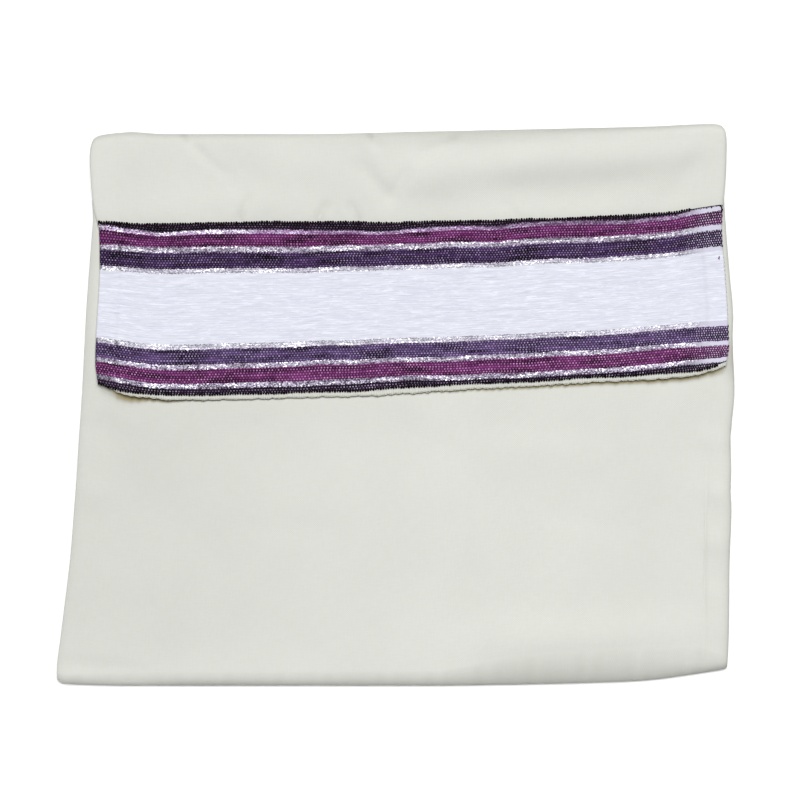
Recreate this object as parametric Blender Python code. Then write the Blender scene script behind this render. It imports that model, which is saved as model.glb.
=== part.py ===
"""A prayer shawl (tallit) folded flat, with its woven band showing on the turned-down end.

The shawl is one long hemmed cloth. Two walls make the stretches of it that show. The first
starts at the free edge of the turned-down end, lies on the front, and rolls over the top fold
to the underside. The second carries on from there along the underside, rolls up round the
bottom fold and comes back as the front, ending under the first. The layers folded away
between are one rounded solid, grooved along both sides where one layer meets the next. The
striped band lies on the turned-down end and is made from that wall's own points, moved out.

Tables and sizes are in millimetres: x to the right, y towards the top fold, z up from the
surface that the shawl rests on. The origin is under the middle of the folded shawl.
"""

import math
from collections import namedtuple

import bpy
import numpy as np

MM = 0.001

# Cloth and layers
CLOTH = 1.2  # one layer of the shawl cloth
GAP = 0.3  # between faces that lie on each other
HIDDEN_LAYERS = 3
HIDDEN_PITCH = 1.9  # height that one hidden layer takes up
FRONT_TOP = CLOTH + GAP + HIDDEN_LAYERS * HIDDEN_PITCH + GAP + CLOTH
UNDER_TAIL = 6.0  # how far the turned-down end's wall runs along the underside

# Side edges: a turned hem, and a soft droop
HEM_WIDTH = 12.4
HEM_STEP = 4.5  # distance over which the hem's edge rises
HEM_RISE = 0.4
DROOP = 1.8
DROOP_WIDTH = 9.0
EDGE_DROOP = 0.8  # the last few millimetres at both sides curl down further
EDGE_DROOP_WIDTH = 4.5
RIM_DROOP = 1.3  # above the band, the turned-down end bends down only near its sides
RIM_WIDTH = 3.5
FOLD_APEX = 2.6  # how high the bottom fold reaches out furthest, for it sags on itself

# Woven band
BAND = 1.0  # one thickness of the band
BAND_RISE = 0.5  # extra where its edges are turned under
BAND_TURN = 8.0  # width turned under along its long edges
BAND_END_TURN = 12.0  # width turned under at its ends
BAND_INSET = 0.5  # from the cloth's side edges
BAND_ROUND = 0.9  # rounding of its edges
BAND_EDGE = 0.45  # share of the thickness left at the very edge

# Side edges of the hidden layers
GROOVE = 1.5
LAYER_INSETS = (2.6, 4.2, 3.2)  # from the front's side edges, lowest layer first
LAYER_SWAY = 0.9  # the layers' edges run a little in and out
LAYER_SWAY_LENGTH = 130.0
ROLL_FILL = 0.85  # how far the hidden layers fill the rolls of the folds

# Sections
ARC_STEPS = 8  # round a fold
EDGE_COLUMNS = (0.0, 1.2, 3.2, 5.8, 8.8, HEM_WIDTH - HEM_STEP / 2, HEM_WIDTH + HEM_STEP / 2, 20.0)
MIDDLE_COLUMNS = 24
COLUMN_WIDTH = 380.0  # the width that EDGE_COLUMNS are measured on
BAND_EDGE_ROWS = (0.0, BAND_ROUND, BAND_TURN - 1, BAND_TURN + 1)  # in from each long edge
BAND_MIDDLE_ROWS = 5
ABOVE_BAND_ROWS = 10
SHOWN_ROWS = 14
COVERED_ROWS = 9

Sides = namedtuple("Sides", "y left right")
Fold = namedtuple("Fold", "x y roll")
FreeEdge = namedtuple("FreeEdge", "x y lift")
BandEdges = namedtuple("BandEdges", "x low top")
Swell = namedtuple("Swell", "place x y length width height turn")

# Side edges of each panel, from the bottom fold to the top fold
FRONT_SIDES = (
    Sides(-166, -200.0, 195.4),
    Sides(-153, -199.6, 195.9),
    Sides(-138, -197.7, 196.5),
    Sides(-115, -194.9, 196.9),
    Sides(-91, -192.0, 197.1),
    Sides(-62, -189.6, 198.2),
    Sides(-50, -188.7, 197.6),
    Sides(-38, -187.9, 198.1),
    Sides(-22, -186.9, 197.6),
    Sides(9, -184.8, 200.0),
    Sides(41, -183.2, 198.9),
    Sides(51, -182.7, 199.3),
    Sides(79, -180.8, 197.0),
    Sides(113, -178.2, 194.4),
    Sides(166, -175.5, 191.5),
)
TURNED_SIDES = (
    Sides(2, -173.0, 192.0),
    Sides(15, -176.0, 193.5),
    Sides(25, -177.2, 195.0),
    Sides(35, -177.0, 196.5),
    Sides(49, -176.2, 196.1),
    Sides(80, -174.6, 194.2),
    Sides(104, -175.0, 192.3),
    Sides(114, -177.6, 192.8),
    Sides(132, -179.5, 194.4),
    Sides(146, -180.1, 195.0),
    Sides(166, -179.4, 195.2),
)
UNDER_SIDES = (
    Sides(-166, -200.0, 195.4),
    Sides(-130, -195.6, 195.2),
    Sides(0, -184.2, 196.6),
    Sides(110, -177.8, 193.2),
    Sides(146, -180.1, 195.0),
    Sides(166, -179.4, 195.2),
)

# Where the folds run, with the half-width of each roll, and where the free edge runs
TOP_FOLD = (
    Fold(-181.0, 147.5, 4.0),
    Fold(-179.6, 151.5, 4.5),
    Fold(-178.2, 155.4, 5.0),
    Fold(-175.0, 157.9, 6.0),
    Fold(-163.0, 160.5, 6.0),
    Fold(-156.0, 160.9, 6.0),
    Fold(-136.0, 159.8, 6.0),
    Fold(-56.0, 159.8, 6.0),
    Fold(14.0, 161.0, 6.5),
    Fold(79.0, 162.3, 7.5),
    Fold(150.0, 164.2, 7.5),
    Fold(187.0, 165.7, 7.0),
    Fold(191.6, 165.1, 6.5),
    Fold(194.2, 162.6, 5.5),
    Fold(195.6, 157.5, 4.5),
)
BOTTOM_FOLD = (
    Fold(-200.6, -158.8, 4.5),
    Fold(-199.4, -161.8, 5.0),
    Fold(-196.0, -164.2, 6.0),
    Fold(-156.0, -165.7, 8.0),
    Fold(20.0, -165.7, 9.0),
    Fold(64.0, -165.2, 16.0),
    Fold(120.0, -163.9, 20.0),
    Fold(144.0, -162.9, 20.0),
    Fold(179.0, -158.7, 16.0),
    Fold(196.4, -154.2, 10.0),
)
FREE_EDGE = (
    FreeEdge(-176.0, 13.4, 0.8),
    FreeEdge(-171.5, 9.8, 1.2),
    FreeEdge(-166.8, 7.2, 1.9),
    FreeEdge(-150.3, 3.8, 3.4),
    FreeEdge(-129.7, 2.3, 2.6),
    FreeEdge(-100.0, 2.5, 1.2),
    FreeEdge(-41.5, 4.0, 0.8),
    FreeEdge(32.1, 8.1, 0.8),
    FreeEdge(90.9, 11.9, 1.0),
    FreeEdge(149.7, 15.1, 1.8),
    FreeEdge(179.1, 18.4, 3.2),
    FreeEdge(194.5, 23.3, 2.4),
)
LIFT_REACH = 18.0  # how far up the turned-down end its lift fades out
BAND_EDGES = (
    BandEdges(-176.0, 14.4, 107.2),
    BandEdges(-171.5, 10.6, 107.4),
    BandEdges(-166.8, 9.2, 107.6),
    BandEdges(-144.4, 6.2, 106.9),
    BandEdges(-100.3, 5.6, 107.5),
    BandEdges(-41.5, 7.8, 108.3),
    BandEdges(17.4, 10.8, 108.3),
    BandEdges(76.2, 14.0, 109.4),
    BandEdges(120.3, 16.6, 111.0),
    BandEdges(149.7, 18.2, 112.8),
    BandEdges(179.1, 21.2, 116.6),
    BandEdges(194.5, 25.2, 118.0),
)

# Soft swells, each a long mound: centre, half-length, half-width, height, turn in degrees
TURNED_SWELLS = (
    Swell("roll below the top fold", 88, 146.5, 50, 18.5, 6.0, 3.0),
    Swell("its right half", 152, 151.5, 34, 17, 3.8, 8.0),
    Swell("its low end", 20, 143, 28, 15, 2.8, 10),
    Swell("hollow below it", 78, 127, 22, 8, -1.2, 4),
    Swell("hollow further right", 138, 130, 28, 8, -1.1, 8),
    Swell("hollow in its left part", 26, 125, 18, 7, -0.7, -8),
    Swell("under the band's upper edge", 118, 110, 58, 8, 1.0, 3),
    Swell("left of the slanting crease", -140, 139, 24, 15, 1.1, -42),
    Swell("right of the slanting crease", -82, 148, 26, 12, 1.0, -30),
    Swell("beside the short crease", -32, 130, 18, 10, 0.9, -62),
    Swell("lower left of the band", -120, 40, 44, 30, 0.5, 0),
    Swell("middle of the band", 60, 58, 70, 26, 0.4, 3),
)
FRONT_SWELLS = (
    Swell("above the bottom roll", 112, -138, 62, 14, 4.2, 3),
    Swell("lower left corner", -168, -142, 26, 14, 1.0, 25),
    Swell("right, below the turned-down end", 150, -40, 40, 16, 0.6, -12),
    Swell("middle", -20, -95, 90, 30, 0.5, 4),
)


def through(rows, key, value):
    """A smooth curve through a table, with no overshoot between its rows."""
    x = np.array([getattr(row, key) for row in rows], float)
    y = np.array([getattr(row, value) for row in rows], float)
    secant = np.diff(y) / np.diff(x)
    slope = np.concatenate([[secant[0]], np.zeros(len(x) - 2), [secant[-1]]])
    for k in range(1, len(x) - 1):
        if secant[k - 1] * secant[k] > 0:
            slope[k] = 2 / (1 / secant[k - 1] + 1 / secant[k])

    def at(place):
        place = min(max(place, x[0]), x[-1])
        k = min(int(np.searchsorted(x, place, "right")) - 1, len(x) - 2)
        step = x[k + 1] - x[k]
        t = (place - x[k]) / step
        even = mix(y[k], y[k + 1], t * t * (3 - 2 * t))
        return float(even + step * t * (1 - t) * (slope[k] * (1 - t) - slope[k + 1] * t))

    return at


def ease(t):
    t = min(max(t, 0.0), 1.0)
    return t * t * (3 - 2 * t)


def mix(a, b, t):
    return a + (b - a) * t


front_sides = (through(FRONT_SIDES, "y", "left"), through(FRONT_SIDES, "y", "right"))
turned_sides = (through(TURNED_SIDES, "y", "left"), through(TURNED_SIDES, "y", "right"))
under_sides = (through(UNDER_SIDES, "y", "left"), through(UNDER_SIDES, "y", "right"))
top_y, top_roll = through(TOP_FOLD, "x", "y"), through(TOP_FOLD, "x", "roll")
bottom_y, bottom_roll = through(BOTTOM_FOLD, "x", "y"), through(BOTTOM_FOLD, "x", "roll")
free_y, free_lift = through(FREE_EDGE, "x", "y"), through(FREE_EDGE, "x", "lift")
band_low, band_top = through(BAND_EDGES, "x", "low"), through(BAND_EDGES, "x", "top")


def across(sides, share, y):
    """The x at a share of a panel's width, at height y up the panel."""
    return mix(sides[0](y), sides[1](y), share)


def meeting(sides, share, edge, y):
    """The y where the line at a share of the width meets an edge, starting from about y."""
    for _ in range(6):
        y = edge(across(sides, share, y))
    return y


def swells(rows, x, y):
    """How far the soft swells of a panel lift it at a point."""
    total = 0.0
    for row in rows:
        turn = math.radians(row.turn)
        dx, dy = x - row.x, y - row.y
        along = (dx * math.cos(turn) + dy * math.sin(turn)) / row.length
        over = (dy * math.cos(turn) - dx * math.sin(turn)) / row.width
        total += row.height * math.exp(-along * along - over * over)
    return total


def side_distance(sides, x, y):
    """How far a point lies inside the nearer side edge."""
    return min(x - sides[0](y), sides[1](y) - x)


def hem(sides, x, y):
    """Extra thickness of the turned hem along a side edge."""
    return HEM_RISE * ease((HEM_WIDTH + HEM_STEP / 2 - side_distance(sides, x, y)) / HEM_STEP)


def resting_height(x, y):
    """Top of the front where nothing swells it: level, and drooping at the side edges."""
    height = FRONT_TOP
    for drop, width in ((DROOP, DROOP_WIDTH), (EDGE_DROOP, EDGE_DROOP_WIDTH)):
        inside = side_distance(front_sides, x, y) / width
        height -= drop * (1 - 2 * inside if inside < 0 else max(0.0, 1 - inside) ** 2)
    return height


def turned_height(x, y):
    """Where the turned-down end rests: on the front below, and clear of its bent sides above."""
    inside = side_distance(turned_sides, x, y) / RIM_WIDTH
    rim = FRONT_TOP - RIM_DROOP * min(max(1 - inside, 0.0), 1.0) ** 2
    return mix(resting_height(x, y), rim, ease((y - 96) / 20))


def shown_share(x, y):
    """1 on the front that shows, easing to 0 where the turned-down end covers it."""
    return ease((free_y(x) - 4 - y) / 14)


def front_faces(x, y):
    """Heights of the front's outer and inner faces."""
    shown = shown_share(x, y)
    cloth = resting_height(x, y) + shown * swells(FRONT_SWELLS, x, y)
    return cloth + shown * hem(front_sides, x, y), cloth - CLOTH


def turned_faces(x, y):
    """Heights of the turned-down end's outer and inner faces. It lies on the front."""
    lift = free_lift(x) * math.exp(-(((y - free_y(x)) / LIFT_REACH) ** 2))
    inner = turned_height(x, y) + GAP + swells(TURNED_SWELLS, x, y) + lift
    return inner + CLOTH + hem(turned_sides, x, y), inner


def shares_across():
    """Where the width is sectioned: closely at the hems, evenly between them."""
    edge = list(EDGE_COLUMNS)
    middle = np.linspace(edge[-1], COLUMN_WIDTH - edge[-1], MIDDLE_COLUMNS + 2)[1:-1]
    return np.array([*edge, *middle, *(COLUMN_WIDTH - e for e in reversed(edge))]) / COLUMN_WIDTH


def top_centre(share):
    """The y of the top roll's centre line, and the roll's half-width."""
    top = meeting(turned_sides, share, top_y, 160.0)
    roll = top_roll(across(turned_sides, share, top))
    return top - roll, roll


def bottom_centre(share):
    """The y of the bottom roll's centre line, and the roll's half-width."""
    bottom = meeting(front_sides, share, bottom_y, -164.0)
    roll = bottom_roll(across(front_sides, share, bottom))
    return bottom + roll, roll


def band_rows(share):
    """Heights y of the band's own sections, from its lower edge to its upper one."""
    low = meeting(turned_sides, share, band_low, 10.0)
    high = meeting(turned_sides, share, band_top, 110.0)
    inner = BAND_EDGE_ROWS[-1]
    middle = np.linspace(low + inner, high - inner, BAND_MIDDLE_ROWS + 2)[1:-1]
    return [*(low + d for d in BAND_EDGE_ROWS), *middle, *(high - d for d in reversed(BAND_EDGE_ROWS))]


def half_turn(sides, share, centre, roll, height, apex):
    """A fold's outer and inner points from its upper side to its lower; roll < 0 turns to -y.

    It reaches out furthest at the height apex.
    """
    outer, inner = [], []
    for k in range(1, ARC_STEPS):
        angle = math.pi * k / ARC_STEPS
        half = height - apex if angle < math.pi / 2 else apex
        x = across(sides, share, centre + roll * math.sin(angle))
        for face, depth in ((outer, 0.0), (inner, CLOTH)):
            y = centre + math.copysign(abs(roll) - depth, roll) * math.sin(angle)
            face.append((x, y, apex + math.cos(angle) * (half - depth)))
    return outer, inner


def flat_run(sides, share, ys, faces):
    """Outer and inner points of a stretch that lies level, for the heights that faces gives."""
    outer, inner = [], []
    for y in ys:
        x = across(sides, share, y)
        out, within = faces(x, y)
        outer.append((x, y, out))
        inner.append((x, y, within))
    return outer, inner


def under_faces(x, y):
    return 0.0, CLOTH


def turned_down_section(share):
    """Free edge, turned-down end, top roll, and a short tail along the underside."""
    centre, roll = top_centre(share)
    start = meeting(turned_sides, share, free_y, 8.0)
    band = band_rows(share)
    above = np.linspace(band[-1], centre, ABOVE_BAND_ROWS + 1)[1:]
    lying = flat_run(turned_sides, share, [start, *band, *above], turned_faces)
    height = lying[0][-1][2]
    turn = half_turn(turned_sides, share, centre, roll, height, height / 2)
    tail = flat_run(under_sides, share, [centre, centre - UNDER_TAIL], under_faces)
    return [lying[face] + turn[face] + tail[face] for face in (0, 1)]


def front_section(share):
    """Underside, bottom roll, and the front up to its end under the turned-down end."""
    high, _ = top_centre(share)
    low, roll = bottom_centre(share)
    under = flat_run(under_sides, share, np.linspace(high - UNDER_TAIL - GAP, low, 5), under_faces)
    end = meeting(front_sides, share, free_y, 8.0)
    shown = np.linspace(low, end - 6, SHOWN_ROWS)
    covered = np.linspace(end + 8, high - 1, COVERED_ROWS)
    lying = flat_run(front_sides, share, [*shown, *covered], front_faces)
    turn = half_turn(front_sides, share, low, -roll, lying[0][0][2], FOLD_APEX)
    return [under[face] + turn[face][::-1] + lying[face] for face in (0, 1)]


def band_section(share):
    """The band's faces, on the points of the turned-down end, thicker where it is turned under."""
    rows = band_rows(share)
    over, under = [], []
    for y in rows:
        x = across(turned_sides, share, y)
        left, right = turned_sides[0](y), turned_sides[1](y)
        inset_x = mix(left + BAND_INSET, right - BAND_INSET, (x - left) / (right - left))
        from_edge = min(y - rows[0], rows[-1] - y)
        from_end = min(x - left, right - x)
        turned = max(ease((BAND_TURN + 1 - from_edge) / 2), ease((BAND_END_TURN + 1 - from_end) / 2))
        thick = (BAND + BAND_RISE * turned) * mix(BAND_EDGE, 1.0, ease(min(from_edge, from_end) / BAND_ROUND))
        z = max(turned_faces(x, y)[0], turned_faces(inset_x, y)[0]) + GAP
        over.append((inset_x, y, z + thick))
        under.append((inset_x, y, z))
    return over, under


def layer_inset(y, up, side):
    """How far the hidden layers' edge lies inside the front's, at a share up their height."""
    layer = min(int(up * HIDDEN_LAYERS), HIDDEN_LAYERS - 1)
    from_middle = 2 * (up * HIDDEN_LAYERS - layer) - 1
    below = LAYER_INSETS[max(layer - 1, 0)]
    at_seam = from_middle < -0.999
    inset = (LAYER_INSETS[layer] + below) / 2 if at_seam else LAYER_INSETS[layer]
    sway = LAYER_SWAY * math.sin(math.pi * y / LAYER_SWAY_LENGTH + 1.7 * layer + side)
    return inset + sway + GROOVE * (1 - math.sqrt(max(0.0, 1 - from_middle**2)))


def hidden_point(share, along, up):
    """A point of the hidden layers, at its shares of their width, length and height."""
    swing = math.sqrt(max(0.0, 1 - (2 * up - 1) ** 2))
    low, bottom_half = bottom_centre(share)
    high, top_half = top_centre(share)
    y = mix(
        low - (ROLL_FILL * (bottom_half - CLOTH) - GAP) * swing,
        high + (ROLL_FILL * (top_half - CLOTH) - 1) * swing,
        along,
    )
    left = front_sides[0](y) + layer_inset(y, up, 0.0)
    right = front_sides[1](y) - layer_inset(y, up, 2.0)
    x = mix(left, right, share)
    ceiling = resting_height(x, min(max(y, low), high)) - CLOTH - GAP
    return x, y, mix(CLOTH + GAP, ceiling, up)


def solid(name, points, faces, material):
    """An object from points in millimetres and the faces of one closed body."""
    mesh = bpy.data.meshes.new(name)
    mesh.from_pydata([tuple(c * MM for c in point) for point in points], [], faces)
    mesh.update()
    volume = 0.0
    for face in mesh.loop_triangles:
        a, b, c = (mesh.vertices[v].co for v in face.vertices)
        volume += a.dot(b.cross(c))
    if volume < 0:
        mesh.flip_normals()
    mesh.shade_smooth()
    mesh.materials.append(material)
    made = bpy.data.objects.new(name, mesh)
    bpy.context.scene.collection.objects.link(made)


def wall(name, section, material):
    """A closed wall through the sections at every share of the width."""
    sections = [section(share) for share in shares_across()]
    columns, rows = len(sections), len(sections[0][0])
    points = [point for face in (0, 1) for made in sections for point in made[face]]

    def index(column, row, face):
        return (face * columns + column) * rows + row

    faces = []
    for i in range(columns - 1):
        for j in range(rows - 1):
            ring = [(i, j), (i + 1, j), (i + 1, j + 1), (i, j + 1)]
            faces.append([index(a, b, 0) for a, b in ring])
            faces.append([index(a, b, 1) for a, b in reversed(ring)])
    border = [(i, 0) for i in range(columns)]
    border += [(columns - 1, j) for j in range(1, rows)]
    border += [(i, rows - 1) for i in range(columns - 2, -1, -1)]
    border += [(0, j) for j in range(rows - 2, 0, -1)]
    for (a, b), (c, d) in zip(border, border[1:] + border[:1]):
        faces.append([index(a, b, 0), index(a, b, 1), index(c, d, 1), index(c, d, 0)])
    solid(name, points, faces, material)


def hidden_layers(material):
    """The layers folded away inside: rounded at the folds, grooved along the sides."""
    shares = [0, 0.012, 0.03, *np.linspace(0.06, 0.94, 11), 0.97, 0.988, 1]
    alongs = np.linspace(0, 1, 21)
    ups = np.linspace(0, 1, 4 * HIDDEN_LAYERS + 1)
    last = (len(shares) - 1, len(alongs) - 1, len(ups) - 1)
    points, number = [], {}

    def vertex(cell):
        if cell not in number:
            number[cell] = len(points)
            points.append(hidden_point(shares[cell[0]], alongs[cell[1]], ups[cell[2]]))
        return number[cell]

    faces = []
    for fixed in range(3):
        first, second = (fixed + 1) % 3, (fixed + 2) % 3
        for end in (0, last[fixed]):
            for a in range(last[first]):
                for b in range(last[second]):
                    ring = []
                    for step_a, step_b in ((0, 0), (1, 0), (1, 1), (0, 1)):
                        cell = [0, 0, 0]
                        cell[fixed], cell[first], cell[second] = end, a + step_a, b + step_b
                        ring.append(vertex(tuple(cell)))
                    faces.append(ring if end else ring[::-1])
    solid("hidden_layers", points, faces, material)


def fabric(name, colour, roughness):
    material = bpy.data.materials.new(name)
    material.use_nodes = True
    shader = material.node_tree.nodes["Principled BSDF"]
    shader.inputs["Base Color"].default_value = (*colour, 1.0)
    shader.inputs["Roughness"].default_value = roughness
    shader.inputs["Metallic"].default_value = 0.0
    material.diffuse_color = (*colour, 1.0)
    return material


def main():
    for obj in list(bpy.data.objects):
        bpy.data.objects.remove(obj)
    cream = fabric("cream_shawl_cloth", (0.72, 0.72, 0.66), 0.85)
    wall("turned_down_end", turned_down_section, cream)
    wall("front_and_underside", front_section, cream)
    hidden_layers(cream)
    wall("woven_band", band_section, fabric("striped_woven_band", (0.24, 0.14, 0.27), 0.8))


main()
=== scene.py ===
"""The looks of a folded prayer shawl (tallit): cream cloth, a handwoven striped band and their sewing.

Lengths in the tables and functions are millimetres in the frame's own axes: x along the band,
y towards the top fold, z up from the surface. They become metres when a mesh is made.
"""

import math
from functools import partial

import bpy
import numpy as np
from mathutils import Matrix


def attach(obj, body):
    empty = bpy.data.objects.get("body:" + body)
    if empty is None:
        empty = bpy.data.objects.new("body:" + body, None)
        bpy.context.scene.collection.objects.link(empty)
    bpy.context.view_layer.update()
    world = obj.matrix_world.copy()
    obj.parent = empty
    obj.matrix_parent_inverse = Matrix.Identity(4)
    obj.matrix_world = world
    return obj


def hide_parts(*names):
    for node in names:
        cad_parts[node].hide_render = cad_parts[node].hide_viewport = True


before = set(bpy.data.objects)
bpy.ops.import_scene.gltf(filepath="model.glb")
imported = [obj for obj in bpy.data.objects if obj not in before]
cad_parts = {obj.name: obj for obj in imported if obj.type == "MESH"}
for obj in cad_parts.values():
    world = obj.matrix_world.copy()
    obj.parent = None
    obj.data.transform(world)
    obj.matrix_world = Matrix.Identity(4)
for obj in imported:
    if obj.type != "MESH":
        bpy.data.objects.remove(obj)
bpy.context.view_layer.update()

MM = 0.001

# The cloth, its layers, hems and bent sides, as in the solids
CLOTH = 1.2
GAP = 0.3
HIDDEN_LAYERS = 3
HIDDEN_PITCH = 1.9
FRONT_TOP = CLOTH + GAP + HIDDEN_LAYERS * HIDDEN_PITCH + GAP + CLOTH
HEM_WIDTH = 12.4
HEM_STEP = 4.5
HEM_RISE = 0.4
DROOPS = ((1.8, 9.0), (0.8, 4.5))  # how far the sides droop and over what width, most at the very edge
RIM_DROOP = 1.3  # above the band, the turned-down end bends down only near its sides
RIM_WIDTH = 3.5
RIM_FROM = 96.0  # how high up that begins, and over what stretch
RIM_BLEND = 20.0
FOLD_APEX = 2.6  # how high the bottom fold reaches out furthest, for it sags on itself
EDGE_ROUND = 0.9
EDGE_SHARE = 0.25  # share of the cloth's thickness left at its very edge
LIFT_REACH = 18.0  # how far in the free edge's lift fades out
FREE_WAVES = ((0.25, 15.0, 43), (0.25, 6.0, 3), (0.12, 2.6, 4))  # height, length and seed of each
# Puckers where the band is sewn on: how high, how far apart, and how far above the band's edge
PUCKER_HEIGHT = 0.45
PUCKER_LENGTH = 13.0
PUCKER_REACH = 5.0
# Painted shade at the right rim, on the front's right side and above the band: how much, and its reach
PAINTED_RIM_SHADE = (0.18, 1.2)
PAINTED_RIGHT_SHADE = (0.06, 4.0)
PAINTED_BAND_SHADE = (0.045, 4.0)
PAINTED_SHADOW_REACH = 5.0  # reach of the painted shadow under the free edge
PAINTED_LEFT_SHADE = 0.065  # painted shade: the front's left side is this much darker
UNEVEN_FRONT = 0.03  # height of the cloth's faint unevenness
UNEVEN_TURNED = 0.04
UNEVEN_BARE = 0.05  # what is added to it where no band lies on the cloth

# Layers folded away inside
LAYER_INSETS = (2.6, 4.2, 3.2)
LAYER_WIDTH = 370.0
# Their points: the columns nearest to each side, and the spacing of the other columns and the rows
HIDDEN_COLUMNS = (0, 0.25, 0.6, 1.0, 1.8, 4.0, 12.0)
COLUMN_PITCH = 34.0
ROW_PITCH = 9.0
# How their left and right sides wander: how far, the shift from layer to layer, length and seed
LAYER_WAVES = (((0.9, 40, 90, 31), (0.3, 31, 19, 32)), ((0.9, 50, 90, 33), (0.3, 17, 21, 34)))
LAYER_HALF = 0.7  # half a layer's thickness
LAYER_REACH = (0.7, 0.4)  # share of the bottom and the top fold's turn that they reach into

# Band
BAND = 1.0
BAND_RISE = 0.5
BAND_TURN = 8.0
BAND_END_TURN = 12.0
BAND_INSET = 0.5
BAND_ENDS = (-175.0, 194.0)  # about where its two ends are
BAND_EDGES = (-50.0, 48.0)  # about where its two long edges are, in the band's own heights
BAND_MIDDLE = 60.0  # y of its middle
WARP_REACH = (-174.6, 194.41)  # from the first warp end to the last
WARP = 1.8  # spacing of the warp ends that show on one weft row
PICK = 1.36  # spacing of the weft rows
SELVEDGE = (168.0, 186.0)  # over this stretch the cloth changes from its middle to its selvedge
CLOSE_WARP = (170.0, 196.0)
CLOSE_PITCH = 1.45  # spacing of the warp ends there
CLOSE_ENDS = (CLOSE_WARP[1] - CLOSE_WARP[0]) * (1 / CLOSE_PITCH - 1 / WARP)
THIN_FOIL = (-92.0, -80.0)  # right of this, the uppermost metal thread is mostly covered
OVAL = (0.24, 0.32)  # half size of a warp end over the weft, in cells
# The band's own heights of the four lines inside it; 0 is the white stripe's middle
BAND_LINES = (-47.1, -36.0, 36.0, 45.9)
BEYOND = 20.0  # rows above and below those lines keep their spacing this far
WHITE_HALF = 20.5  # half the white stripe's width
ROWS_HALF = 43.5  # beyond this, the mesh's lines no longer follow the rows of weft
# How high the rows of weft and the warp over them rise, and a factor on the slubs' own heights
ROW_RISE = 0.06
WARP_RISE = 0.04
SLUB_RISE = 1.1
RIM_LINES = (0, 0.3, 0.7, 1.2)  # the mesh's closer lines at its edges, and the columns at its ends
FIRST_COLUMNS = (1.5, 1.2, 0.7)
LAST_COLUMNS = (0.5, 0.9, 1.2)
HALF_LINES = 64  # the mesh's lines along the weft, on each side of the middle

# The sides of the front, the turned-down end and the underside: y, and their left and right x
FRONT_SIDES = (
    (-166, -200, 195.4), (-153, -199.6, 195.9), (-138, -197.7, 196.5), (-115, -194.9, 196.9),
    (-91, -192, 197.1), (-62, -189.6, 198.2), (-50, -188.7, 197.6), (-38, -187.9, 198.1),
    (-22, -186.9, 197.6), (9, -184.8, 200), (41, -183.2, 198.9), (51, -182.7, 199.3),
    (79, -180.8, 197), (113, -178.2, 194.4), (166, -175.5, 191.5),
)
TURNED_SIDES = (
    (2, -173, 192), (15, -176, 193.5), (25, -177.2, 195), (35, -177, 196.5),
    (49, -176.2, 196.1), (80, -174.6, 194.2), (104, -175, 192.3), (114, -177.6, 192.8),
    (132, -179.5, 194.4), (146, -180.1, 195), (166, -179.4, 195.2),
)
UNDER_SIDES = (
    (-166, -200, 195.4), (-130, -195.6, 195.2), (0, -184.2, 196.6), (110, -177.8, 193.2),
    (146, -180.1, 195), (166, -179.4, 195.2),
)
# The two folds: x, the y that they reach out to, and how deep their turn is
TOP_FOLD = (
    (-181, 149, 4), (-179.6, 153.4, 4.5), (-178.2, 156.8, 5), (-175, 158.8, 6),
    (-163, 160.5, 6), (-156, 160.9, 6), (-136, 159.8, 6), (-56, 159.8, 6),
    (14, 161.2, 6.5), (79, 162.5, 7.5), (150, 164.2, 7.5), (187, 165.7, 7),
    (191.6, 165.1, 6.5), (194.2, 162.6, 5.5), (195.6, 157.5, 4.5),
)
BOTTOM_FOLD = (
    (-200.6, -161, 4.5), (-199.8, -162.7, 5), (-195.4, -164.6, 6), (-156, -165.7, 8),
    (20, -165.7, 9), (64, -165.2, 16), (120, -163.9, 20), (144, -162.9, 20),
    (179, -158.6, 16), (187, -157.3, 12), (194.2, -156, 8), (196.6, -154.7, 6),
)
# The free edge: x, y, and how high it lifts
FREE_EDGE = (
    (-176, 14.6, 0.8), (-171.5, 12.1, 1.2), (-166.8, 9.5, 1.9), (-163, 7.3, 2.5),
    (-156.5, 5.9, 3.1), (-150.3, 4.9, 3.4), (-129.7, 3.2, 2.6), (-100, 3.4, 1.2),
    (-41.5, 5, 0.8), (-20.9, 5.4, 0.8), (14.4, 7.5, 0.8), (49.7, 9.8, 0.8),
    (73.2, 10.9, 0.9), (96.8, 12.3, 1.1), (120.3, 13.8, 1.4), (143.8, 14.8, 1.8),
    (167.3, 16.5, 2.7), (179.1, 18.3, 3.2), (194.5, 23.1, 2.4),
)
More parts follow.
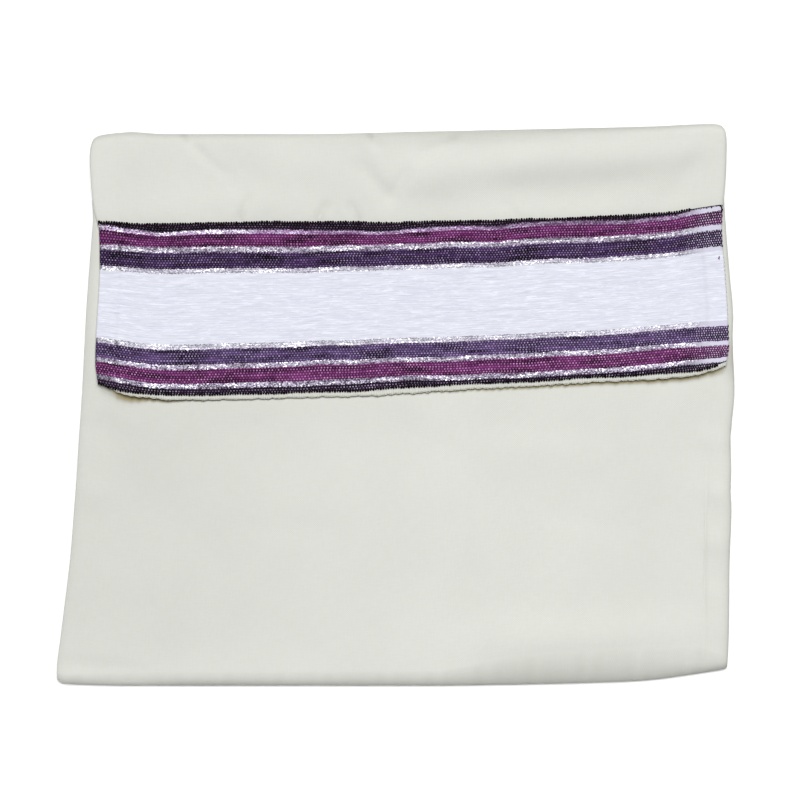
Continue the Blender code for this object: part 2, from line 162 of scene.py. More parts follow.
# The band's lines: x, and how high its lower edge, the lower plum stripe's top, the lower magenta
# stripe's top, the upper one's foot, the upper plum stripe's foot and its upper edge run there
BAND_ROWS = (
    (-176.2, 13.4, 15.4, 25.1, 94.8, 107.1, 107.5),
    (-171.5, 11.5, 14.4, 24.8, 94.7, 106.7, 107.5),
    (-166.8, 10, 13.6, 24, 94.4, 105.9, 107.2),
    (-159.1, 8.2, 12.1, 22.8, 94, 104.5, 106.6),
    (-150.3, 7.2, 10.5, 21.4, 93.4, 103.3, 106.1),
    (-137.3, 6.4, 9.2, 20.3, 92.9, 102, 106.1),
    (-122.6, 6, 9, 20.3, 93.1, 102.9, 106.4),
    (-107.9, 6.2, 9.1, 20.7, 93.5, 103.7, 106.7),
    (-91.5, 6.7, 9.5, 21.4, 93.5, 103.8, 107),
    (-70.9, 7, 10.2, 21.9, 93.4, 103.8, 107.5),
    (-56.2, 7.8, 10.4, 22.5, 93.1, 103.5, 107.2),
    (-41.5, 8.2, 11.2, 23.4, 93.7, 103.2, 107.3),
    (-26.8, 8.2, 11.8, 23.4, 94.3, 103.1, 107.5),
    (-12.1, 9.4, 12.8, 24.3, 94.3, 102.4, 106.9),
    (-2.1, 10.2, 13.2, 24.7, 94.9, 102.7, 106.8),
    (9.7, 10.8, 14.2, 24.9, 95.1, 104.2, 107.4),
    (24.4, 11.5, 14, 25.1, 95.6, 105.1, 107.7),
    (39.1, 12.6, 14.2, 25.7, 96.2, 105.7, 107.9),
    (55.6, 13.2, 15.2, 26.7, 96.1, 105.6, 108.1),
    (76.2, 13.9, 15.5, 27.2, 97.8, 107.6, 109),
    (93.8, 14.9, 16.7, 28.4, 98.7, 108.6, 109.2),
    (114.4, 16.6, 17.9, 29.1, 99, 109.2, 110.1),
    (130.3, 16.9, 18.8, 30, 99.9, 108.8, 111),
    (149.7, 18.3, 20.4, 31.9, 101, 110.6, 112),
    (164.4, 19.3, 22.2, 33.1, 102.5, 112.2, 113.3),
    (176.2, 20.1, 23.4, 33.8, 104.6, 115.1, 115.4),
    (183.8, 21.6, 24.2, 34.2, 105.7, 116.2, 116.6),
    (190.9, 24.1, 24.9, 34.5, 106.4, 117.2, 117.5),
    (195, 25.6, 25.8, 34.8, 106.6, 117.2, 117.6),
)
# Swells: x, y, length, width, height and turn in degrees
TURNED_SWELLS = (
    (100, 146, 70, 22, 2.4, 5),  # rise below the top fold
    (76, 142.7, 40, 11.5, 3.5, 4),  # roll along it
    (138, 146, 32, 10, 2.1, 5),  # its right half
    (174, 150, 15, 8.5, 1.2, 10),  # its right end
    (18, 135.2, 26, 12.2, 2.8, 6),  # its low end
    (74, 127, 22, 8, -0.8, 4),  # hollow below it
    (130, 130, 28, 8, -0.8, 8),  # hollow further right
    (26, 119.5, 18, 7, -0.3, -8),  # hollow in its left part
    (112, 111, 58, 8, 1.6, 3),  # under the band's upper edge
    (186, 112, 15, 24, 1.9, -10),  # right end, above the band
    (-154, 149, 9, 15, 1.7, 0),  # at the left end
    (-138, 113, 18, 10, 1, 0),  # below it
    (-90, 119, 48, 10, 1.3, -2),  # bulge above the band, left
    (-52, 141, 13, 9, 0.6, 0),  # left of the middle
    (-82, 148, 26, 12, 0.8, -30),  # right of the slanting crease
    (-32, 130, 18, 10, 0.9, -62),  # beside the short crease
    (-120, 40, 44, 30, 0.5, 0),  # lower left of the band
    (60, 58, 70, 26, 0.4, 3),  # middle of the band
)
FRONT_SWELLS = (
    (112, -138, 62, 14, 4.2, 3),  # above the bottom roll
    (-168, -142, 26, 14, 1, 25),  # lower left corner
    (150, -40, 40, 16, 0.6, -12),  # right, below the turned-down end
    (-20, -95, 90, 30, 0.5, 4),  # middle
    (187, -21, 9, 6, 1, -10),  # pucker of the right hem, highest
    (191, -53, 10, 7, 1.4, -18),  # pucker of the right hem, middle
    (189, -82, 10, 7, 1.4, -15),  # pucker of the right hem, lower
    (-176, -53, 9, 8, 1, 10),  # pucker of the left hem
)
# Creases: x and y of both ends, width and height
TURNED_CREASES = (
    (-131, 164, -114, 147.5, 2.8, -1.3),  # slanting, from the top fold
    (-114, 147, -101.5, 136, 2.6, -0.8),  # its lower part
    (-97.5, 137, -96, 127, 2.4, -0.5),  # its foot
    (-21.5, 164, -10, 152, 2.8, -1.5),  # short, at the top fold
    (-20.5, 141, -5, 122, 4.8, -1.5),  # slanting, in the middle
    (-3, 120.5, 6.5, 137.5, 4.2, -1.6),  # its other arm
    (16, 147.5, 37.5, 158, 3.6, -1.2),  # right of it, at the top fold
    (161, 119, 179, 146.5, 6.5, -0.9),  # slanting, at the right end
    (-86, 122.5, -91.5, 108.5, 2.4, -1.4),  # by the band, left
    (-41, 118, -45.5, 108, 2.8, -1.5),  # by the band, middle
    (-26.5, 118, -21.5, 108, 3, -1.3),  # by the band, right of it
    (64, 119, 70, 110, 3, -0.6),  # by the band, further right
)
FRONT_CREASES = (
    (184, -102, 199, -104.5, 6, -0.5),  # right side, lower
    (-134, -33, -84, -11.5, 9, -0.48),  # left of the middle
    (2, -11.5, 42, -33, 9, -0.48),  # right of the middle
    (50, -11.5, 118, -17, 9, -0.5),  # further right
    (-92, -73.8, -38, -72, 8, -0.32),  # below the middle
    (88, -64, 132, -72, 8, -0.4),  # right, below the middle
    (-174, -10, -160, -22, 7, -0.56),  # left side, upper
    (-198, -152, -150, -157, 5, -0.8),  # lower left corner
    (183.2, -48, 181.6, -128, 0.7, -0.5),  # row of hem stitches, right
)

# Painted shade along the folds, and a painted shadow under the free edge: x, how much, and how far in
# from the fold or the free edge
PAINTED_TOP_FOLD_SHADE = (
    (-176, 0.19, 3), (-80, 0.2, 3.2), (-32, 0.15, 4.5), (3, 0.18, 5), (38, 0.2, 7),
    (74, 0.21, 5.8), (109, 0.25, 3.8), (144, 0.23, 3.2), (180, 0.19, 2),
)
PAINTED_BOTTOM_FOLD_SHADE = (
    (-190, 0.02, 3), (-150, 0.05, 3), (-115, 0.17, 3), (-56, 0.13, 3.2), (3, 0.12, 4),
    (50, 0.15, 8), (74, 0.155, 13), (97, 0.14, 12), (120, 0.13, 14), (144, 0.13, 10),
    (167, 0.17, 6), (185, 0.24, 3),
)
PAINTED_FREE_EDGE_SHADOW = (
    (-176, 0.3, 5), (-169, 0.32, 5.2), (-165.6, 0.5, 4.6), (-162, 0.95, 4.2), (-156, 1, 3.8),
    (-150, 1, 3), (-144, 0.95, 2.3), (-135, 0.9, 1.8), (-126, 0.7, 1.3), (-100, 0.6, 1),
    (0, 0.65, 1.1), (50, 0.85, 1.6), (97, 0.95, 1.9), (120, 0.95, 2.2), (144, 0.9, 2.5),
    (167, 0.9, 2.8), (179, 0.85, 2.9), (188, 0.7, 3.6), (195, 0.4, 4.4),
)
# Spots of painted shade, laid out as the swells are: in the turned-down end's creases, and on the front
PAINTED_CREASE_SHADE = (
    (-124.5, 158.3, 3.2, 1.5, 0.13, -42),  # slanting crease, at the top fold
    (-14.8, 158.6, 3, 1.6, 0.16, -45),  # short crease, at the top fold
    (33.5, 157, 5, 2.2, 0.08, 25),  # right of it, at the top fold
    (-90.6, 110.5, 4.5, 1.6, 0.12, 75),  # by the band, left
    (-44.5, 110.5, 4.5, 1.8, 0.12, 65),  # by the band, middle
    (-22.5, 110.5, 4.5, 1.8, 0.1, 115),  # by the band, right of it
)
PAINTED_FRONT_SHADE = (
    (198, 27, 11, 4, 0.2, 90),  # right of the turned-down end's corner
    (182.4, -88, 38, 0.8, 0.06, 91),  # row of hem stitches, right
)

# The stripes from the lowest up: the yarn, how wide, the two colours it was unevenly dyed in
# (for the metal thread, the dull colour and the painted bright one of its facets), what colour
# the pale warp over it looks, and how much of it shows
STRIPES = (
    ("wool", 9.9, "0A040D", "2E1A33", "BFB2CE", 0.9),
    ("wool", 1.5, "0A040D", "2A1730", "BFB2CE", 1.0),
    ("wool", 1.0, "0A040D", "2A1730", "BFB2CE", 0.35),
    ("metal", 3.0, "2C2331", "918B9B", "CFC3DA", 0.4),
    ("wool", 8.2, "2B0428", "712D68", "CE9CC8", 1.0),
    ("metal", 2.8, "3A303F", "9791A1", "CFC3DA", 0.3),
    ("wool", 8.6, "170823", "5D4475", "BBAECD", 0.95),
    ("metal", 3.2, "6E6B76", "A7A5AF", "CFC3DA", 0.3),
    ("cotton", 41.2, "D3D5E1", "DCDEE9", "E6E6F0", 0.1),
    ("metal", 2.5, "6A6772", "A2A0AA", "CFC3DA", 0.3),
    ("wool", 10.0, "07010C", "432B58", "A997B9", 0.9),
    ("metal", 2.9, "463D4C", "9B96A4", "CFC3DA", 0.3),
    ("wool", 7.4, "260421", "702967", "C896C4", 0.95),
    ("metal", 2.5, "5C3A60", "A49AAF", "CFC3DA", 0.3),
    ("wool", 12.4, "070307", "200F20", "A596B4", 0.5),
)
LOWEST_STRIPE = -59.5
FRAY = 0.76  # how far the stripes' edges stray


def mix(a, b, t):
    return a + (b - a) * t


def ease(t):
    t = np.clip(t, 0.0, 1.0)
    return t * t * (3 - 2 * t)


def near(distance, reach, power=2):
    """1 at no distance, fading out smoothly past the reach."""
    return np.exp(-((distance / reach) ** power))


def joined(*parts):
    """Points or places from their parts: x, y and z, or u and v."""
    return np.stack(np.broadcast_arrays(*parts), -1)


def through(x, y):
    """A smooth curve through places x and their values y, with no overshoot between them."""
    secant = np.diff(y) / np.diff(x)
    slope = np.concatenate([[secant[0]], np.zeros(len(x) - 2), [secant[-1]]])
    for k in range(1, len(x) - 1):
        if secant[k - 1] * secant[k] > 0:
            slope[k] = 2 / (1 / secant[k - 1] + 1 / secant[k])

    def at(place):
        place = np.clip(place, x[0], x[-1])
        k = np.clip(np.searchsorted(x, place, "right") - 1, 0, len(x) - 2)
        step = x[k + 1] - x[k]
        t = (place - x[k]) / step
        bend = step * t * (1 - t) * (slope[k] * (1 - t) - slope[k + 1] * t)
        return mix(y[k], y[k + 1], ease(t)) + bend

    return at


def curves(rows):
    """A curve for each column of a table after its first, which holds the places."""
    places, *columns = np.array(rows, float).T
    return [through(places, column) for column in columns]


front_sides, turned_sides, under_sides = map(curves, (FRONT_SIDES, TURNED_SIDES, UNDER_SIDES))
top_y, top_roll = curves(TOP_FOLD)
bottom_y, bottom_roll = curves(BOTTOM_FOLD)
free_line, free_lift = curves(FREE_EDGE)
band_low, *band_lines, band_high = curves(BAND_ROWS)


def wander(place, length, seed, waves=4, crest=2.6):
    """A smooth uneven wave of about -1 to 1, with crests about length apart."""
    draw = np.random.default_rng(seed)
    total = 0.0
    for _ in range(waves):
        wave = length * draw.uniform(0.6, 1.9)
        total = total + np.sin(2 * math.pi * (place / wave + draw.uniform()))
    return total / crest


def unevenness(x, y, length, seed, waves=9, crest=4):
    """A smooth uneven surface of about -1 to 1, with crests about length apart."""
    draw = np.random.default_rng(seed)
    total = 0.0
    for _ in range(waves):
        turn, wave = draw.uniform(0, 2 * math.pi), length * draw.uniform(0.7, 1.8)
        along = x * math.cos(turn) + y * math.sin(turn)
        total = total + np.sin(2 * math.pi * (along / wave + draw.uniform()))
    return total / crest


def across(sides, share, y):
    return mix(sides[0](y), sides[1](y), share)


def meeting(sides, share, edge, about):
    """The y where the lines at shares of the width meet an edge, which is at about the y given."""
    y = np.full_like(share, about)
    for _ in range(6):
        y = edge(across(sides, share, y))
    return y


def side_distance(sides, x, y):
    return np.minimum(x - sides[0](y), sides[1](y) - x)


def swells(rows, x, y):
    total = 0.0
    for x0, y0, length, width, height, turn in rows:
        turn = math.radians(turn)
        dx, dy = x - x0, y - y0
        along = (dx * math.cos(turn) + dy * math.sin(turn)) / length
        over = (dy * math.cos(turn) - dx * math.sin(turn)) / width
        total = total + height * np.exp(-along * along - over * over)
    return total


def creases(rows, x, y, fade=0.6, ridge=0.12, ridge_at=1.6, ridge_narrow=1.6):
    """Soft troughs, each fading out towards its two ends, with a low ridge on both sides."""
    total = 0.0
    for x1, y1, x2, y2, width, height in rows:
        run = math.hypot(x2 - x1, y2 - y1)
        ax, ay = (x2 - x1) / run, (y2 - y1) / run
        dx, dy = x - (x1 + x2) / 2, y - (y1 + y2) / 2
        along, over = (dx * ax + dy * ay) / (run * fade), (dy * ax - dx * ay) / width
        beside = np.exp(-((np.abs(over) - ridge_at) ** 2) * ridge_narrow)
        trough = np.exp(-over * over) - ridge * beside
        total = total + height * trough * np.exp(-(along**4))
    return total


def free_y(x):
    """The serged free edge, which runs in small waves."""
    y = free_line(x)
    for height, length, seed in FREE_WAVES:
        y = y + height * wander(x, length, seed)
    return y


def hem(sides, x, y):
    return HEM_RISE * ease((HEM_WIDTH + HEM_STEP / 2 - side_distance(sides, x, y)) / HEM_STEP)


def resting_height(x, y):
    inside = side_distance(front_sides, x, y)
    height = FRONT_TOP
    for droop, width in DROOPS:
        share = inside / width
        height = height - droop * np.where(share < 0, 1 - 2 * share, np.clip(1 - share, 0, 1) ** 2)
    return height


def turned_height(x, y):
    """Where the turned-down end rests: on the front below, and clear of its bent sides above."""
    inside = side_distance(turned_sides, x, y) / RIM_WIDTH
    rim = FRONT_TOP - RIM_DROOP * np.clip(1 - inside, 0, 1) ** 2
    return mix(resting_height(x, y), rim, ease((y - RIM_FROM) / RIM_BLEND))


def edge_share(from_edge):
    """The share of a cloth's thickness that is left at a distance from its edge."""
    reach = 1 - np.clip(from_edge / EDGE_ROUND, 0, 1)
    return mix(EDGE_SHARE, 1.0, np.sqrt(1 - reach * reach))


def rounded(low, thick, from_edge):
    """Upper and lower faces of a cloth of a thickness, rounded off towards its edge."""
    kept = edge_share(from_edge)
    return low + thick * (0.5 + 0.5 * kept), low + thick * (0.5 - 0.5 * kept)


def front_faces(x, y, covered=4, blend=14):
    """Faces of the front, which has no relief where the turned-down end covers it."""
    shown = ease((free_line(x) - covered - y) / blend)
    relief = swells(FRONT_SWELLS, x, y) + creases(FRONT_CREASES, x, y)
    relief = relief + UNEVEN_FRONT * unevenness(x, y, length=60, seed=11)
    low = resting_height(x, y) - CLOTH + shown * relief
    inside = side_distance(front_sides, x, y)
    return rounded(low, CLOTH + shown * hem(front_sides, x, y), inside)


def pucker_wave(x):
    return wander(x, PUCKER_LENGTH, seed=44)


def turned_low(x, y):
    """Lower face of the turned-down end."""
    lift = free_lift(x) * near(y - free_line(x), LIFT_REACH)
    above = y - band_high(x)
    bare = ease((above + 6) / 12)
    puckers = PUCKER_HEIGHT * pucker_wave(x) * near(above - 1, PUCKER_REACH)
    relief = swells(TURNED_SWELLS, x, y) + creases(TURNED_CREASES, x, y) + puckers
    uneven = (UNEVEN_TURNED + UNEVEN_BARE * bare) * unevenness(x, y, length=48, seed=12)
    return turned_height(x, y) + GAP + relief + lift + uneven


def turned_faces(x, y):
    inside = np.minimum(side_distance(turned_sides, x, y), y - free_y(x))
    return rounded(turned_low(x, y), CLOTH + hem(turned_sides, x, y), inside)


def under_band(x, y):
    """Where the band's lower face rests on the turned-down end."""
    return turned_low(x, y) + CLOTH + hem(turned_sides, x, y) + GAP


def on_band(x, y):
    """The band's upper face where it is turned under."""
    return under_band(x, y) + BAND + BAND_RISE


def painted_edge_shade(rows, x, inside, power=2):
    """How much painted shade the cloth has at places x, as far inside an edge as given."""
    amount, reach = curves(rows)
    return amount(x) * near(np.maximum(inside, 0), reach(x), power)


def painted_shade(points, sides, front):
    """Painted shade on the cloth: most along its folds and right rim, with a painted shadow under the
    free edge.
    """

    def painted_darkening(distance, amount, reach):
        return amount * near(distance, reach)

    x, y = points[..., 0], points[..., 1]
    right = np.maximum(sides[1](y) - x, 0)
    total = painted_edge_shade(PAINTED_TOP_FOLD_SHADE, x, top_y(x) - y) + painted_edge_shade(PAINTED_BOTTOM_FOLD_SHADE, x, y - bottom_y(x))
    total = total + painted_darkening(right, *PAINTED_RIM_SHADE)
    if front:
        left = PAINTED_LEFT_SHADE * ease((10 - x) / 160) * ease((y + 172) / 40)
        total = total + left + painted_darkening(right, *PAINTED_RIGHT_SHADE) + swells(PAINTED_FRONT_SHADE, x, y)
        # A warm painted shadow under the free edge
        outside = free_y(x) - y
        under = near(np.minimum(outside, 0), PAINTED_SHADOW_REACH)
        under = under * ease((side_distance(turned_sides, x, y) + 2) / 4)
        total = total + painted_edge_shade(PAINTED_FREE_EDGE_SHADOW, x, outside, 3) * under
    else:
        total = total + swells(PAINTED_CREASE_SHADE, x, y)
        above_band = painted_darkening(np.maximum(y - band_high(x), 0), *PAINTED_BAND_SHADE)
        total = total + above_band * (1 + 0.5 * pucker_wave(x))
    return np.clip(total, 0, 1)


def under_faces(x, y):
    upper, lower = rounded(0 * x, CLOTH, side_distance(under_sides, x, y))
    return lower, upper


def top_centre(share):
    """The y where the top fold's turn begins, and how deep it is."""
    top = meeting(turned_sides, share, top_y, about=160.0)
    roll = top_roll(across(turned_sides, share, top))
    return top - roll, roll


def bottom_centre(share):
    """The y where the bottom fold's turn begins, and how deep it is."""
    bottom = meeting(front_sides, share, bottom_y, about=-164.0)
    roll = bottom_roll(across(front_sides, share, bottom))
    return bottom + roll, roll


def run(sides, share, y, faces):
    """Outer and inner points of a stretch that lies level. share is a row, y a grid."""
    x = across(sides, share, y)
    return [joined(x, y, z) for z in faces(x, y)]


def half_turn(sides, share, centre, roll, height, apex, steps, way):
    """A fold's outer and inner points from its upper side to its lower, turning to +y or -y.

    It reaches out furthest at the height apex.
    """
    angle = (math.pi * np.arange(1, steps) / steps)[:, None]
    up, out = np.cos(angle), np.sin(angle)
    y_mid = centre + way * roll * out
    x = across(sides, share, y_mid)
    upper, lower = rounded(0 * x, CLOTH, side_distance(sides, x, y_mid))
    faces = []
    for depth in (CLOTH - upper, CLOTH - lower):
        z = apex + up * (np.where(up > 0, height - apex, apex) - depth)
        faces.append(joined(x, centre + way * (roll - depth) * out, z))
    return faces


def mesh_object(name, points, faces, material):
    """A smooth object from points in millimetres, its faces turned outwards."""
    mesh = bpy.data.meshes.new(name)
    mesh.from_pydata((np.asarray(points) * MM).tolist(), [], faces)
    mesh.calc_loop_triangles()
    order = np.empty(3 * len(mesh.loop_triangles), int)
    mesh.loop_triangles.foreach_get("vertices", order)
    a, b, c = np.asarray(points)[order].reshape(-1, 3, 3).transpose(1, 0, 2)
    if np.einsum("ij,ij->i", a, np.cross(b, c)).sum() < 0:
        mesh.flip_normals()
    mesh.shade_smooth()
    mesh.materials.append(material)
    made = bpy.data.objects.new(name, mesh)
    bpy.context.scene.collection.objects.link(made)
    return made


def closed_wall(name, outer, inner, keep_rows, keep_columns, uv, material):
    """A closed shell. The outer grid is whole, and the inner one keeps some rows and columns."""
    rows, columns = outer.shape[:2]
    fine = np.arange(rows * columns).reshape(rows, columns)
    kept = np.full((rows, columns), -1)
    picked = np.ix_(keep_rows, keep_columns)
    kept[picked] = rows * columns + np.arange(kept[picked].size).reshape(kept[picked].shape)
    points = np.concatenate([outer.reshape(-1, 3), inner[picked].reshape(-1, 3)])
    coarse = kept[picked]
    quads = [
        [fine[:-1, :-1], fine[1:, :-1], fine[1:, 1:], fine[:-1, 1:]],
        [coarse[:-1, :-1], coarse[:-1, 1:], coarse[1:, 1:], coarse[1:, :-1]],
    ]
    faces = [face for four in quads for face in np.stack(four, -1).reshape(-1, 4).tolist()]
    for a, b in zip(keep_columns, keep_columns[1:]):
        faces.append([*fine[0, a : b + 1].tolist(), int(kept[0, b]), int(kept[0, a])])
        faces.append([*fine[-1, a : b + 1][::-1].tolist(), int(kept[-1, a]), int(kept[-1, b])])
    for a, b in zip(keep_rows, keep_rows[1:]):
        faces.append([*fine[a : b + 1, 0][::-1].tolist(), int(kept[a, 0]), int(kept[b, 0])])
        faces.append([*fine[a : b + 1, -1].tolist(), int(kept[b, -1]), int(kept[a, -1])])
    made = mesh_object(name, points, faces, material)
    both = np.concatenate([uv.reshape(-1, 2), uv[picked].reshape(-1, 2)])
    layer = made.data.uv_layers.new(name="cloth")
    corners = np.empty(len(made.data.loops), int)
    made.data.loops.foreach_get("vertex_index", corners)
    layer.data.foreach_set("uv", both[corners].ravel())
    return made


# ---------------------------------------------------------------- materials

# Kinds of node, with the setting that each always has here
SUM, LESS, TIMES, OVER, TIMES_PLUS, WHOLE, REMAINDER, ABOVE = (
    ("ShaderNodeMath", {"operation": operation})
    for operation in (
        "ADD", "SUBTRACT", "MULTIPLY", "DIVIDE", "MULTIPLY_ADD", "FLOOR", "FLOORED_MODULO",
        "GREATER_THAN",
    )
)
STRETCH, STRETCH_MOVE, SCALE, LENGTH, SINE = (
    ("ShaderNodeVectorMath", {"operation": operation})
    for operation in ("MULTIPLY", "MULTIPLY_ADD", "SCALE", "LENGTH", "SINE")
)
RANGE = "ShaderNodeMapRange"
SOFT_RANGE = ("ShaderNodeMapRange", {"interpolation_type": "SMOOTHSTEP"})
NOISE = ("ShaderNodeTexNoise", {"noise_dimensions": "2D"})
BLEND = ("ShaderNodeMix", {"data_type": "RGBA"})
BETWEEN = ("ShaderNodeMix", {"data_type": "FLOAT"})
VECTOR = "ShaderNodeCombineXYZ"
PARTS = "ShaderNodeSeparateXYZ"
RAMP = "ShaderNodeValToRGB"
BUMP = "ShaderNodeBump"


def linear(code):
    """The linear colour of an sRGB hex code."""
    parts = [int(code[k : k + 2], 16) / 255 for k in (0, 2, 4)]
    return tuple(p / 12.92 if p < 0.04045 else ((p + 0.055) / 1.055) ** 2.4 for p in parts) + (1.0,)


def grey(value):
    return (value, value, value, 1.0)


def plug(socket, value):
    """Gives a socket its value or its link."""
    if isinstance(value, bpy.types.NodeSocket):
        socket.id_data.links.new(value, socket)
    else:
        socket.default_value = value


def add(tree, kind, *values, stops=(), **named):
    """Adds a node and gives its first output in use.

    Its inputs are values or links, in order or by their names, which begin with a capital. The
    other names are settings. A ramp's stops are places and colours.
    """
    name, settings = kind if isinstance(kind, tuple) else (kind, {})
    made = tree.nodes.new(name)
    by_name = {key: value for key, value in named.items() if key[0].isupper()}
    for key, value in {**settings, **named}.items():
        if key not in by_name:
            setattr(made, key, value)
    for socket, value in zip([socket for socket in made.inputs if socket.enabled], values):
        plug(socket, value)
    for key, value in by_name.items():
        plug(made.inputs[key], value)
    for k, (place, colour) in enumerate(stops):
        points = made.color_ramp.elements
        point = points[k] if k < len(points) else points.new(1.0)
        point.position, point.color = place, colour
    return next((socket for socket in made.outputs if socket.enabled), made)


def new_material(name, roughness, specular=0.5, sheen=0.0):
    """A material, add() for its tree, and the inputs of its shader, which the output already takes."""
    material = bpy.data.materials.new(name)
    material.use_nodes = True
    surface = material.node_tree.nodes["Principled BSDF"].inputs
    plug(surface["Roughness"], roughness)
    plug(surface["Specular IOR Level"], specular)
    plug(surface["Sheen Weight"], sheen)
    plug(surface["Sheen Roughness"], 0.5)
    return material, partial(add, material.node_tree), surface


# A pattern is stretched by how many of its crests fit in a millimetre, along the weft and along
# the warp. Where it follows single rows, the second is how many fit from one row to the next.


def cream_cloth():
    """Fine plain-woven wool and cotton, pressed: matt, faintly fuzzy, a little uneven in tone."""
    material, put, surface = new_material("plain_woven_cream_cloth", 0.9, 0.25, 0.08)
    place = put("ShaderNodeUVMap", uv_map="cloth")
    patches = put(NOISE, put(STRETCH, place, (0.02, 0.02, 0.0)), 1.0, 3.0)
    tone = put(RAMP, patches, stops=[(0.3, linear("D1D2CB")), (0.7, linear("D4D5CE"))])
    # Single threads are thicker or thinner along their length, which gives a faint cross-hatch
    warp = put(NOISE, put(STRETCH, place, (1.1, 0.15, 0.0)), 1.0, 2.0)
    weft = put(NOISE, put(STRETCH, place, (0.15, 1.1, 0.0)), 1.0, 2.0)
    hatch = put(RANGE, put(SUM, warp, weft), 0.6, 1.4, 0.98, 1.02)
    woven = put(SCALE, tone, hatch)
    # Painted shade: the cloth is greyed a little along its folds and rims, and a dull, warm painted
    # shadow lies where it is under the turned-down edge
    painted_shade_share = put("ShaderNodeAttribute", attribute_name="painted_shade").node.outputs["Fac"]
    painted_darkening = put(RAMP, painted_shade_share, stops=[
        (0.0, grey(1.0)), (0.3, (0.704, 0.7, 0.688, 1.0)), (0.5, (0.6, 0.545, 0.42, 1.0)),
        (1.0, (0.37, 0.3, 0.15, 1.0)),
    ])
    plug(surface["Base Color"], put(STRETCH, woven, painted_darkening))
    # Warp and weft hump over each other by turns. The threads lie 0.4 mm apart and are drawn at
    # 0.6 mm, so that they show
    humps = put(STRETCH, place, (math.pi / 0.6, math.pi / 0.6, 0.0))
    waves = put(PARTS, put(SINE, humps))
    weave = put(TIMES, waves, waves.node.outputs["Y"])
    bump = put(BUMP, Height=weave, Strength=0.3, Distance=0.00008)
    plug(surface["Normal"], bump)
    return material


